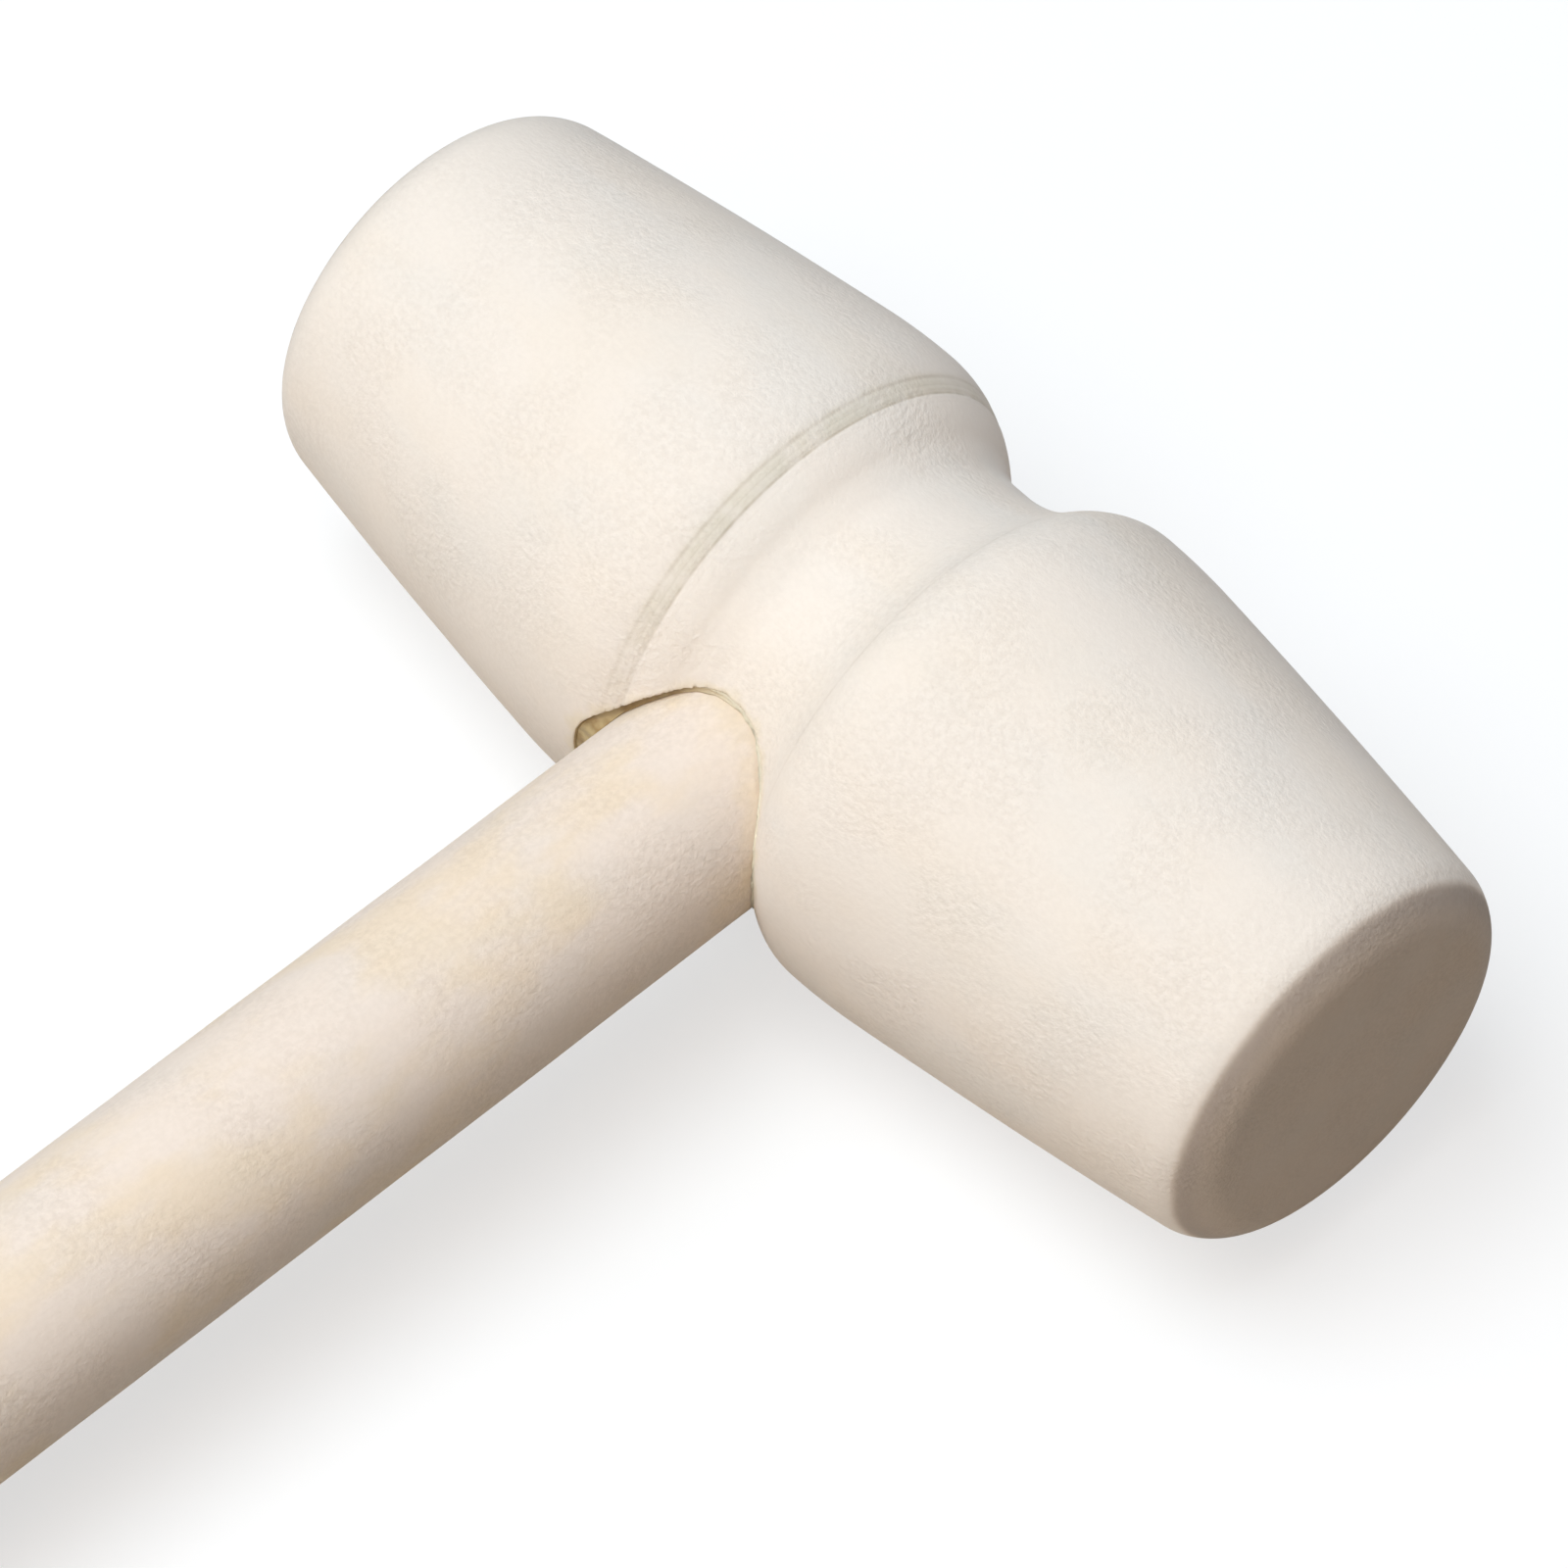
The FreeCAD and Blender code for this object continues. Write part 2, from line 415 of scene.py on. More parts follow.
def ease_mouth(bm, tree, reach):
    """Refine the wood round the mouth of the bore and rub its edge soft."""
    def near(limit):
        return [v for v in bm.verts if tree.find(v.co)[2] < limit]

    touched = {f for v in near(reach * 1.5) for f in v.link_faces}
    bmesh.ops.triangulate(bm, faces=list(touched))
    inner = set(near(reach))
    edges = [e for e in bm.edges if e.verts[0] in inner and e.verts[1] in inner
             and e.calc_length() > reach / 3]
    bmesh.ops.subdivide_edges(bm, edges=edges, cuts=1)
    bmesh.ops.triangulate(bm, faces=[f for f in bm.faces if len(f.verts) > 4])
    for _ in range(4):
        bmesh.ops.smooth_vert(bm, verts=near(reach * 0.8), factor=0.5,
                              use_axis_x=True, use_axis_y=True, use_axis_z=True)


# Distances from the joint are not told apart beyond this, in millimetres.
FAR_FROM_JOINT = 30.0


def mark_joint(bm, tree, to_head):
    """Store each vertex's distance from the bore's mouth, in millimetres."""
    layer = bm.verts.layers.float.new("from_joint")
    for vert in bm.verts:
        vert[layer] = min(FAR_FROM_JOINT, tree.find(to_head @ vert.co)[2])


def shape_head(head):
    bm = bmesh.new()
    start = bm.verts.new((head.waist_radius, 0, 0))
    draw_barrel(bm, start, -1, head.left_fillet, head)
    draw_barrel(bm, start, 1, head.right_fillet, head)
    turn_solid(bm, head.sides)
    press_in(bm, lambda place: head_hollow(place, head.unevenness))
    return bm


def drill(solid, cutter):
    """Cut one shape from another and give back the result as a new bmesh."""
    blank = new_object(solid, "head_blank", [])
    bit = new_object(cutter, "drill_bit", [])
    # Two empty slots each, so that the cut keeps which faces are the drill's.
    for piece in (blank, bit):
        for _ in range(2):
            piece.data.materials.append(None)
    cut = blank.modifiers.new("Bore", "BOOLEAN")
    cut.operation = "DIFFERENCE"
    cut.solver = "EXACT"
    cut.object = bit
    bpy.context.view_layer.update()
    result = blank.evaluated_get(bpy.context.evaluated_depsgraph_get())
    bm = bmesh.new()
    bm.from_mesh(result.to_mesh())
    for piece in (blank, bit):
        mesh = piece.data
        bpy.data.objects.remove(piece)
        bpy.data.meshes.remove(mesh)
    return bm


# ---------------------------------------------------------------- the handle

def shape_handle(handle):
    bm = bmesh.new()
    pen = OutlinePen(bm, bm.verts.new((0, 0, handle.tenon_end)))
    chamfer = 0.5
    pen.move(0, handle.tenon_radius - chamfer, 6)
    pen.move(chamfer, chamfer, 2)
    tenon_length = handle.grip_start - handle.tenon_taper - handle.tenon_end - chamfer
    pen.move(tenon_length, 0, 40)
    pen.move(handle.tenon_taper, HANDLE_RADIUS - handle.tenon_radius, 3)
    grip_length = BUTT_REACH - handle.butt_fillet - handle.grip_start
    pen.line(grip_length, 0.5)
    pen.arc(handle.butt_fillet, -math.pi / 2, 0.15)
    pen.line(pen.out, 0.35)
    turn_solid(bm, handle.sides)
    flat = HANDLE_RADIUS - handle.butt_fillet

    def hollow(place):
        broad = noise.noise(Vector((place.x * 0.2, place.y * 0.2, place.z * 0.07)) * 1.2)
        close = Vector((place.x * 0.3, place.y * 0.3, place.z * 0.28))
        ripple = noise.noise(close + Vector((5, 5, 5)))
        return handle.unevenness * (0.5 + 0.35 * broad + 0.3 * ripple)

    press_in(bm, hollow)
    for vert in bm.verts:
        behind = ease(vert.co.z, BUTT_REACH - handle.butt_fillet, BUTT_REACH)
        radius = math.hypot(vert.co.x, vert.co.y) / flat
        vert.co.z -= handle.crown * behind * min(1.0, radius ** 2)
    return bm


# ---------------------------------------------------------------- the glue

def glue_depth(angle, glue):
    """Depth of the glue below the mouth: wiped over the right half, pooled in the tear on
    the left and sunk on both sides of it."""
    side = from_left(angle)
    in_tear = 1 - ease(side, math.radians(14), math.radians(34))
    at_right = ease(side, math.radians(50), math.radians(85))
    depth = glue.sunk_depth + (glue.full_depth - glue.sunk_depth) * at_right
    depth += (glue.pool_depth - depth) * in_tear
    rough = noise.noise(Vector((math.cos(angle), math.sin(angle), 0)) * 3.1)
    return depth * (1 + 0.35 * rough)


def shape_glue(glue, head, handle):
    """A cup of glue: up the hole's wall, over its own uneven surface and down the dowel."""
    shift = HANDLE_SHIFT - head.bore_shift
    bm = bmesh.new()
    bmesh.ops.create_circle(bm, cap_ends=True, segments=glue.sides, radius=head.bore_radius)
    rim = bm.edges[:]
    ring = {v: math.atan2(v.co.y, v.co.x) for v in bm.verts}

    def level(angle):
        return mouth_point(angle, head).x - glue_depth(angle, glue)

    def wall(angle, out):
        radius = bore_radius_at(angle, out, head)
        return Vector((radius * math.cos(angle), radius * math.sin(angle), out))

    def dowel(angle, out):
        return Vector((shift + handle.tenon_radius * math.cos(angle),
                       handle.tenon_radius * math.sin(angle), out))

    def raise_ring(place):
        """Pull up the next ring of the cup, with every vertex where place(angle) says."""
        nonlocal rim, ring
        made = bmesh.ops.extrude_edge_only(bm, edges=rim)["geom"]
        fresh = {}
        for vert in (v for v in made if isinstance(v, bmesh.types.BMVert)):
            below = next(o for e in vert.link_edges for o in e.verts if o in ring)
            fresh[vert] = ring[below]
        for vert, angle in fresh.items():
            vert.co = place(angle)
        rim = [e for e in made if isinstance(e, bmesh.types.BMEdge)
               and e.verts[0] in fresh and e.verts[1] in fresh]
        ring = fresh

    def on_wall(share):
        return lambda angle: wall(angle, head.bore_end + share * (level(angle) - head.bore_end))

    def across_top(share):
        def place(angle):
            top = level(angle)
            point = wall(angle, top).lerp(dowel(angle, top), share)
            pitted = 0.1 * noise.noise(point * 2.3)
            point.z += glue.meniscus * ((2 * share - 1) ** 2 - 1) + pitted
            return point
        return place

    for vert in bm.verts:
        vert.co.z = head.bore_end
    for share in (0.5, 0.97):
        raise_ring(on_wall(share))
    steps = 8
    for step in range(steps + 1):
        raise_ring(across_top(step / steps))
    raise_ring(lambda angle: dowel(angle, handle.tenon_end))
    bmesh.ops.edgeloop_fill(bm, edges=rim)
    bmesh.ops.translate(bm, verts=bm.verts[:], vec=(-shift, 0, 0))
    return bm


# ---------------------------------------------------------------- materials

# Tints that multiply the wood's own colour.
COOL_TINT = (0.93, 0.97, 1.0, 1.0)
SPECK_TINT = (0.55, 0.5, 0.46, 1.0)
HAZE_TINT = (0.95, 0.91, 0.72, 1.0)
# Darker grey ring on the sawn ends, next to where they start.
DARK_RIM_TINT = (0.7, 0.7, 0.72, 1.0)
TOOL_RING_TINT = (0.52, 0.45, 0.36, 1.0)
# Painted shade of the tool-cut band's facet.
TOOL_BAND_SHADE_TINT = (0.78, 0.79, 0.67, 1.0)

# Colours that take its place in the pores, in a painted paler band of light on the waist's left
# wall, and on the drilled wall.
PORE_COLOUR = (0.42, 0.31, 0.2, 1.0)
WAIST_LIGHT_COLOUR = (0.95, 0.87, 0.785, 1.0)
BORE_COLOUR = (0.6, 0.5, 0.32, 1.0)
BORE_STAIN = (0.42, 0.3, 0.15, 1.0)

# How far before a flat its sawn grain starts to show, in millimetres.
LEFT_SAWN = 0.5
# Painted shade: on the right face the darker end grain starts further out, at the shade line on
# the rim.
RIGHT_SAWN_AND_SHADE = 1.23
BUTT_SAWN = 0.9


def feed(tree, socket, value):
    """Link a socket to another node's output, or set its value."""
    if isinstance(value, bpy.types.NodeSocket):
        tree.links.new(value, socket)
    else:
        socket.default_value = value


def put(tree, kind, inputs=None, **settings):
    """Add a node, set its settings and feed its inputs, which are named or numbered."""
    node = tree.nodes.new(kind)
    for name, value in settings.items():
        setattr(node, name, value)
    for name, value in (inputs or {}).items():
        feed(tree, node.inputs[name], value)
    return node


def maths(tree, operation, *values):
    node = put(tree, "ShaderNodeMath", dict(enumerate(values)), operation=operation)
    return node.outputs[0]


def vector_maths(tree, operation, *values):
    node = put(tree, "ShaderNodeVectorMath", dict(enumerate(values)), operation=operation)
    return node.outputs["Value" if operation in ("LENGTH", "DOT_PRODUCT") else "Vector"]


def spread(tree, value, low, high, to_low=0.0, to_high=1.0):
    """Map a value's range onto another, smoothly and clamped at both ends."""
    node = put(tree, "ShaderNodeMapRange", {
        "Value": value, "From Min": low, "From Max": high, "To Min": to_low,
        "To Max": to_high}, interpolation_type="SMOOTHSTEP")
    return node.outputs[0]


def blend_colour(tree, share, first, second, mode="MIX"):
    node = put(tree, "ShaderNodeMix", data_type="RGBA", blend_type=mode, clamp_result=True)
    sockets = {s.identifier: s for s in node.inputs}
    feed(tree, sockets["Factor_Float"], share)
    feed(tree, sockets["A_Color"], first)
    feed(tree, sockets["B_Color"], second)
    return next(s for s in node.outputs if s.identifier == "Result_Color")


def noise_node(tree, vector, scale, detail=2.0, rough=0.5):
    return put(tree, "ShaderNodeTexNoise", {
        "Vector": vector, "Scale": scale, "Detail": detail, "Roughness": rough}).outputs["Fac"]


def stretched(tree, vector, across, along):
    """Coordinates squeezed so that a pattern is this wide and long in millimetres."""
    wide = maths(tree, "DIVIDE", 1.0, across)
    tall = maths(tree, "DIVIDE", 1.0, along)
    scale = put(tree, "ShaderNodeCombineXYZ", {"X": wide, "Y": wide, "Z": tall}).outputs[0]
    return vector_maths(tree, "MULTIPLY", vector, scale)


def new_group(name, inputs, outputs):
    """An empty shader node group. Inputs are (name, kind, default) and outputs (name, kind)."""
    tree = bpy.data.node_groups.new(name, "ShaderNodeTree")
    for label, kind, default in inputs:
        socket = tree.interface.new_socket(
            name=label, in_out="INPUT", socket_type="NodeSocket" + kind)
        if default is not None:
            socket.default_value = default
    for label, kind in outputs:
        tree.interface.new_socket(name=label, in_out="OUTPUT", socket_type="NodeSocket" + kind)
    return tree, tree.nodes.new("NodeGroupInput").outputs, tree.nodes.new("NodeGroupOutput").inputs


def wood_figure_group():
    """Growth rings, fibres and pores of plain wood whose grain runs along Z, in millimetres."""
    tree, given, result = new_group(
        "wood_figure",
        [("Vector", "Vector", None), ("Pith", "Vector", (-26.0, 14.0, 0.0)),
         ("Ring Width", "Float", 1.7), ("Fibre Width", "Float", 0.13),
         ("Fibre Length", "Float", 1.8), ("Pore Length", "Float", 0.7)],
        [("Rings", "Float"), ("Fibres", "Float"), ("Pores", "Float"), ("Height", "Float")])
    place = given["Vector"]
    wander = noise_node(tree, stretched(tree, place, 7.0, 40.0), 1.0, 2.0)
    flat = vector_maths(tree, "MULTIPLY", vector_maths(tree, "SUBTRACT", place, given["Pith"]),
                        (1.0, 1.0, 0.0))
    radius = maths(tree, "ADD", vector_maths(tree, "LENGTH", flat),
                   maths(tree, "MULTIPLY", wander, 3.4))
    year = maths(tree, "FRACT", maths(tree, "DIVIDE", radius, given["Ring Width"]))
    rise = maths(tree, "POWER", year, 2.5)
    rings = maths(tree, "MULTIPLY", rise, spread(tree, year, 0.9, 1.0, 1.0, 0.0))
    strands = noise_node(
        tree, stretched(tree, place, given["Fibre Width"], given["Fibre Length"]), 1.0, 3.0, 0.6)
    fibres = spread(tree, strands, 0.32, 0.68)
    cells = put(tree, "ShaderNodeTexVoronoi", {
        "Vector": stretched(tree, place, 0.34, given["Pore Length"]), "Scale": 1.0,
        "Randomness": 1.0})
    dash = spread(tree, cells.outputs["Distance"], 0.12, 0.3, 1.0, 0.0)
    chosen = spread(tree, put(tree, "ShaderNodeSeparateColor", {
        "Color": cells.outputs["Color"]}).outputs[0], 0.62, 0.7)
    pores = maths(tree, "MULTIPLY", dash, chosen)
    raised = maths(tree, "MULTIPLY_ADD", fibres, 0.5, maths(tree, "MULTIPLY", rings, 0.25))
    height = maths(tree, "SUBTRACT", raised, maths(tree, "MULTIPLY", pores, 0.6))
    for label, value in (("Rings", rings), ("Fibres", fibres), ("Pores", pores),
                         ("Height", height)):
        feed(tree, result[label], value)
    return tree


def sanding_fuzz_group():
    """Short torn fibres that sanding raised: soft specks, stronger in some patches."""
    tree, given, result = new_group(
        "sanding_fuzz",
        [("Vector", "Vector", None), ("Size", "Float", 0.2), ("Patch Size", "Float", 5.0)],
        [("Specks", "Float"), ("Height", "Float")])
    tall = maths(tree, "MULTIPLY", given["Size"], 1.15)
    fine = noise_node(tree, stretched(tree, given["Vector"], given["Size"], tall), 1.0, 2.0, 0.6)
    patch = noise_node(tree, stretched(tree, given["Vector"], given["Patch Size"],
                                       given["Patch Size"]), 1.0, 1.0)
    amount = spread(tree, patch, 0.35, 0.65, 0.35, 1.0)
    specks = maths(tree, "MULTIPLY", spread(tree, fine, 0.28, 0.72), amount)
    feed(tree, result["Specks"], specks)
    feed(tree, result["Height"], maths(tree, "MULTIPLY", fine, amount))
    return tree


def hand_toning_group():
    """Broad warm and cool blotches that handling and drying leave in bare wood."""
    tree, given, result = new_group(
        "hand_toning",
        [("Vector", "Vector", None), ("Size", "Float", 6.0)],
        [("Warm", "Float"), ("Cool", "Float")])
    coarse = stretched(tree, given["Vector"], given["Size"],
                       maths(tree, "MULTIPLY", given["Size"], 1.8))
    moved = vector_maths(tree, "ADD", coarse, (11.3, 4.7, 2.9))
    feed(tree, result["Warm"], spread(tree, noise_node(tree, coarse, 1.0, 3.0), 0.42, 0.68))
    feed(tree, result["Cool"], spread(tree, noise_node(tree, moved, 1.0, 3.0), 0.45, 0.7))
    return tree


def glue_haze_group():
    """Glue that soaked into the wood beside the joint, in uneven tongues."""
    tree, given, result = new_group(
        "glue_haze",
        [("Vector", "Vector", None), ("Distance", "Float", 10.0), ("Reach", "Float", 0.8)],
        [("Haze", "Float")])
    tongues = noise_node(tree, stretched(tree, given["Vector"], 1.1, 1.1), 1.0, 2.0)
    offset = maths(tree, "MULTIPLY", maths(tree, "SUBTRACT", tongues, 0.5), given["Reach"])
    ragged = maths(tree, "MULTIPLY_ADD", offset, 2.2, given["Distance"])
    share = maths(tree, "DIVIDE", ragged, given["Reach"])
    feed(tree, result["Haze"], spread(tree, share, 0.0, 1.0, 1.0, 0.0))
    return tree


def group(tree, name, inputs):
    node = put(tree, "ShaderNodeGroup", node_tree=bpy.data.node_groups[name])
    for label, value in inputs.items():
        feed(tree, node.inputs[label], value)
    return node.outputs


def new_material(name):
    """A material, its tree and its Principled shader."""
    material = bpy.data.materials.new(name)
    material.use_nodes = True
    tree = material.node_tree
    return material, tree, tree.nodes["Principled BSDF"]


def own_place(tree, place):
    """Coordinates in millimetres on a piece's own lathe line."""
    coordinates = put(tree, "ShaderNodeTexCoord").outputs
    mapping = put(tree, "ShaderNodeMapping", {
        "Vector": coordinates["Object"], "Location": place.to_translation(),
        "Rotation": place.to_euler(), "Scale": (MM, MM, MM)}, vector_type="TEXTURE")
    return mapping.outputs[0]


def cut_ends(tree, spot, first, last):
    """How far a place lies on a sawn end, from 0 to 1, and on a darker grey ring just past where
    the sawn end starts.
    """
    along = put(tree, "ShaderNodeSeparateXYZ", {"Vector": spot}).outputs["Z"]
    off = maths(tree, "ABSOLUTE", maths(tree, "SUBTRACT", along, (first + last) / 2))
    start = (last - first) / 2
    ragged = noise_node(tree, stretched(tree, spot, 1.6, 1.6), 1.0, 2.0)
    off = maths(tree, "MULTIPLY_ADD", maths(tree, "SUBTRACT", ragged, 0.5), 0.12, off)
    dark_rim = maths(tree, "MULTIPLY", spread(tree, off, start - 0.1, start + 0.3),
                  spread(tree, off, start + 0.4, start + 1.2, 1.0, 0.0))
    return spread(tree, off, start - 0.24, start + 0.24), dark_rim


def solid_colour(value):
    return (*value, 1.0)


def bare_wood(name, place, ends, settings, look):
    """Bare sanded wood, whose two sawn ends begin at the places ends along its own line."""
    material, tree, shader = new_material(name)
    spot = own_place(tree, place)
    figure = group(tree, "wood_figure", {
        "Vector": spot, "Pith": look["pith"], "Ring Width": look["ring_width"]})
    fuzz = group(tree, "sanding_fuzz", {"Vector": spot, "Size": look["fuzz_size"]})
    toning = group(tree, "hand_toning", {"Vector": spot, "Size": look["blotch_size"]})
    joint = put(tree, "ShaderNodeAttribute", attribute_name="from_joint").outputs["Fac"]
    haze = group(tree, "glue_haze", {
        "Vector": spot, "Distance": joint, "Reach": look["haze_reach"]})["Haze"]
    sawn, dark_rim = cut_ends(tree, spot, *ends)

    fibre = solid_colour(settings.fibre)
    # Darker end grain on the sawn ends; on the head's right face it also paints shade out to the
    # shade line on the rim.
    tint = blend_colour(tree, sawn, solid_colour(settings.wood), solid_colour(settings.end_grain))
    # A darker grey ring on each sawn end, next to where it starts.
    tint = blend_colour(tree, dark_rim, tint, DARK_RIM_TINT, "MULTIPLY")
    tint = blend_colour(tree, maths(tree, "MULTIPLY", figure["Rings"], look["rings"]),
                        tint, fibre)
    tint = blend_colour(tree, maths(tree, "MULTIPLY", figure["Fibres"], look["fibres"]),
                        tint, fibre)
    tint = blend_colour(tree, maths(tree, "MULTIPLY", toning["Warm"], look["warm"]),
                        tint, (*look["warm_tint"], 1.0), "MULTIPLY")
    tint = blend_colour(tree, maths(tree, "MULTIPLY", toning["Cool"], look["cool"]),
                        tint, COOL_TINT, "MULTIPLY")
    tint = blend_colour(tree, maths(tree, "MULTIPLY", figure["Pores"], look["pores"]),
                        tint, PORE_COLOUR)
    tint = blend_colour(tree, maths(tree, "MULTIPLY", fuzz["Specks"], look["specks"]),
                        tint, SPECK_TINT, "MULTIPLY")
    tint = blend_colour(tree, maths(tree, "MULTIPLY", haze, look["haze"]),
                        tint, HAZE_TINT, "MULTIPLY")
    feed(tree, shader.inputs["Base Color"], tint)

    rough = maths(tree, "MULTIPLY_ADD", fuzz["Specks"], 0.1, 0.74)
    rough = maths(tree, "SUBTRACT", rough, maths(tree, "MULTIPLY", haze, 0.25))
    feed(tree, shader.inputs["Roughness"], rough)
    shader.inputs["Specular IOR Level"].default_value = 0.3
    shader.inputs["Sheen Weight"].default_value = look["sheen"]
    shader.inputs["Sheen Roughness"].default_value = 0.55

    height = maths(tree, "MULTIPLY_ADD", figure["Height"], look["grain_height"],
                   maths(tree, "MULTIPLY", fuzz["Height"], look["fuzz_height"]))
    relief = put(tree, "ShaderNodeBump", {"Height": height, "Distance": MM, "Strength": 1.0})
    feed(tree, shader.inputs["Normal"], relief.outputs[0])
    return material, tree, spot, tint, shader


def darken_tool_rings(tree, spot, tint, shader):
    """Fine dark lines in the turning tool's rings, rubbed away beside the joint, painted shade on
    the tool-cut band and a painted paler band of light on the waist's left wall.
    """
    parts = put(tree, "ShaderNodeSeparateXYZ", {"Vector": spot}).outputs
    along = parts["Z"]
    around = maths(tree, "DIVIDE", parts["X"], vector_maths(
        tree, "LENGTH", vector_maths(tree, "MULTIPLY", spot, (1.0, 1.0, 0.0))))
    clear = spread(tree, around, 0.6, 0.98, 1.0, 0.3)
    patchy = noise_node(tree, stretched(tree, spot, 1.4, 1.4), 1.0, 3.0)
    worn = maths(tree, "MULTIPLY", clear, spread(tree, patchy, 0.3, 0.65, 0.35, 1.0))
    for place, width, depth in TOOL_RINGS:
        off = maths(tree, "ABSOLUTE", maths(tree, "SUBTRACT", along, place))
        line = spread(tree, off, 0.0, width * 1.2, 1.0, 0.0)
        share = maths(tree, "MULTIPLY", maths(tree, "MULTIPLY", line, worn),
                      min(0.6, depth * 15))
        tint = blend_colour(tree, share, tint, TOOL_RING_TINT, "MULTIPLY")
    # Painted shade: the tool-cut band on the left wall is darkened with a greenish grey, standing
    # in for the shade of its cut facet, which is only a shallow step here.
    low, high, _ = TOOL_STEP
    band = maths(tree, "MULTIPLY", spread(tree, along, low - 0.5, low + 0.3, 0.0, 0.46),
                 spread(tree, along, high - 0.1, high + 0.15, 1.0, 0.0))
    tint = blend_colour(tree, maths(tree, "MULTIPLY", band, worn), tint,
                        TOOL_BAND_SHADE_TINT, "MULTIPLY")
    # Painted light: the waist's left wall is made paler from just below the tool-cut band towards
    # the waist's bottom.
    hollow = maths(tree, "MULTIPLY", spread(tree, along, high, high + 0.3),
                   spread(tree, along, -2.5, -1.3, 1.0, 0.0))
    tint = blend_colour(tree, maths(tree, "MULTIPLY", hollow, 0.35), tint,
                        WAIST_LIGHT_COLOUR)
    feed(tree, shader.inputs["Base Color"], tint)


def head_material(head):
    look = {
        "pith": (-31.0, 17.0, 0.0), "ring_width": 1.9, "fuzz_size": 0.26, "blotch_size": 5.5,
        "haze_reach": 0.7, "rings": 0.03, "fibres": 0.03, "warm": 0.5, "cool": 0.45,
        "warm_tint": (1.0, 0.975, 0.935), "pores": 0.01, "specks": 0.16, "haze": 0.5,
        "sheen": 0.12, "grain_height": 0.004, "fuzz_height": 0.06}
    material, tree, spot, tint, shader = bare_wood(
        "bare_turned_wood", HEAD_FRAME,
        (LEFT_SAWN - HEAD_LENGTH / 2, HEAD_LENGTH / 2 - RIGHT_SAWN_AND_SHADE), head, look)
    darken_tool_rings(tree, spot, tint, shader)
    return material


def handle_material(handle):
    look = {
        "pith": (14.0, -22.0, 0.0), "ring_width": 1.5, "fuzz_size": 0.28, "blotch_size": 3.0,
        "haze_reach": 1.3, "rings": 0.04, "fibres": 0.05, "warm": 0.8, "cool": 0.3,
        "warm_tint": (1.0, 0.955, 0.83), "pores": 0.01, "specks": 0.2, "haze": 0.3,
        "sheen": 0.12, "grain_height": 0.004, "fuzz_height": 0.045}
    return bare_wood("bare_dowel_wood", HANDLE_FRAME, (handle.tenon_end, BUTT_REACH - BUTT_SAWN),
                     handle, look)[0]


def bore_material():
    """The drilled wall: torn end grain stained by glue."""
    material, tree, shader = new_material("glue_stained_bore")
    spot = own_place(tree, HEAD_FRAME)
    fuzz = group(tree, "sanding_fuzz", {"Vector": spot, "Size": 0.3})
    tint = blend_colour(tree, fuzz["Specks"], BORE_COLOUR, BORE_STAIN)
    feed(tree, shader.inputs["Base Color"], tint)
    shader.inputs["Roughness"].default_value = 0.7
    relief = put(tree, "ShaderNodeBump", {"Height": fuzz["Height"], "Distance": 0.1 * MM})
    feed(tree, shader.inputs["Normal"], relief.outputs[0])
    return material


def glue_material(glue):
    material, tree, shader = new_material("dried_wood_glue")
    spot = own_place(tree, HANDLE_FRAME)
    lumps = noise_node(tree, stretched(tree, spot, 0.7, 0.7), 1.0, 3.0)
    share = spread(tree, lumps, 0.38, 0.7)
    tint = blend_colour(tree, share, solid_colour(glue.thin), solid_colour(glue.thick))
    sideways = put(tree, "ShaderNodeSeparateXYZ", {"Vector": spot}).outputs["X"]
    tint = blend_colour(tree, spread(tree, sideways, -3.2, 0.3), tint, solid_colour(glue.wiped))
    feed(tree, shader.inputs["Base Color"], tint)
    feed(tree, shader.inputs["Roughness"], maths(tree, "MULTIPLY_ADD", lumps, 0.3, 0.25))
    relief = put(tree, "ShaderNodeBump", {"Height": lumps, "Distance": 0.15 * MM})
    feed(tree, shader.inputs["Normal"], relief.outputs[0])
    return material


def floor_material(settings):
    material, tree, shader = new_material("pale_paper_floor")
    spot = put(tree, "ShaderNodeTexCoord").outputs["Object"]
    pulp = noise_node(tree, spot, 900.0, 4.0)
    plain = [c * (1 - settings.floor_glow) for c in settings.floor_colour]
    first = solid_colour(plain)
    second = solid_colour([c * 0.985 for c in plain])
    seen = put(tree, "ShaderNodeLightPath").outputs["Is Camera Ray"]
    shader.inputs["Emission Color"].default_value = (1.0, 1.0, 1.0, 1.0)
    feed(tree, shader.inputs["Emission Strength"],
         maths(tree, "MULTIPLY", seen, settings.floor_glow))
    feed(tree, shader.inputs["Base Color"], blend_colour(
        tree, seen, solid_colour(settings.floor_bounce),
        blend_colour(tree, pulp, first, second)))
    shader.inputs["Roughness"].default_value = 0.9
    shader.inputs["Specular IOR Level"].default_value = 0.1
    return material


# ---------------------------------------------------------------- the stage

def look_from(azimuth, elevation):
    """Unit vector from the subject towards a viewer. Azimuth 0 looks along +Y."""
    return Vector((math.sin(azimuth) * math.cos(elevation),
                   -math.cos(azimuth) * math.cos(elevation), math.sin(elevation)))


def set_camera(stage):
    data = bpy.data.cameras.new("camera")
    data.sensor_width = 36.0
    data.lens = stage.lens
    data.clip_start = 0.01
    camera = bpy.data.objects.new("camera", data)
    bpy.context.scene.collection.objects.link(camera)
    back = look_from(stage.azimuth, stage.elevation)
    aim = HEAD_CENTRE + Vector(stage.aim) * MM
    turn = (-back).to_track_quat("-Z", "Y").to_matrix() @ Matrix.Rotation(stage.roll, 3, "Z")
    camera.matrix_world = Matrix.Translation(aim + back * stage.distance) @ turn.to_4x4()
    bpy.context.scene.camera = camera


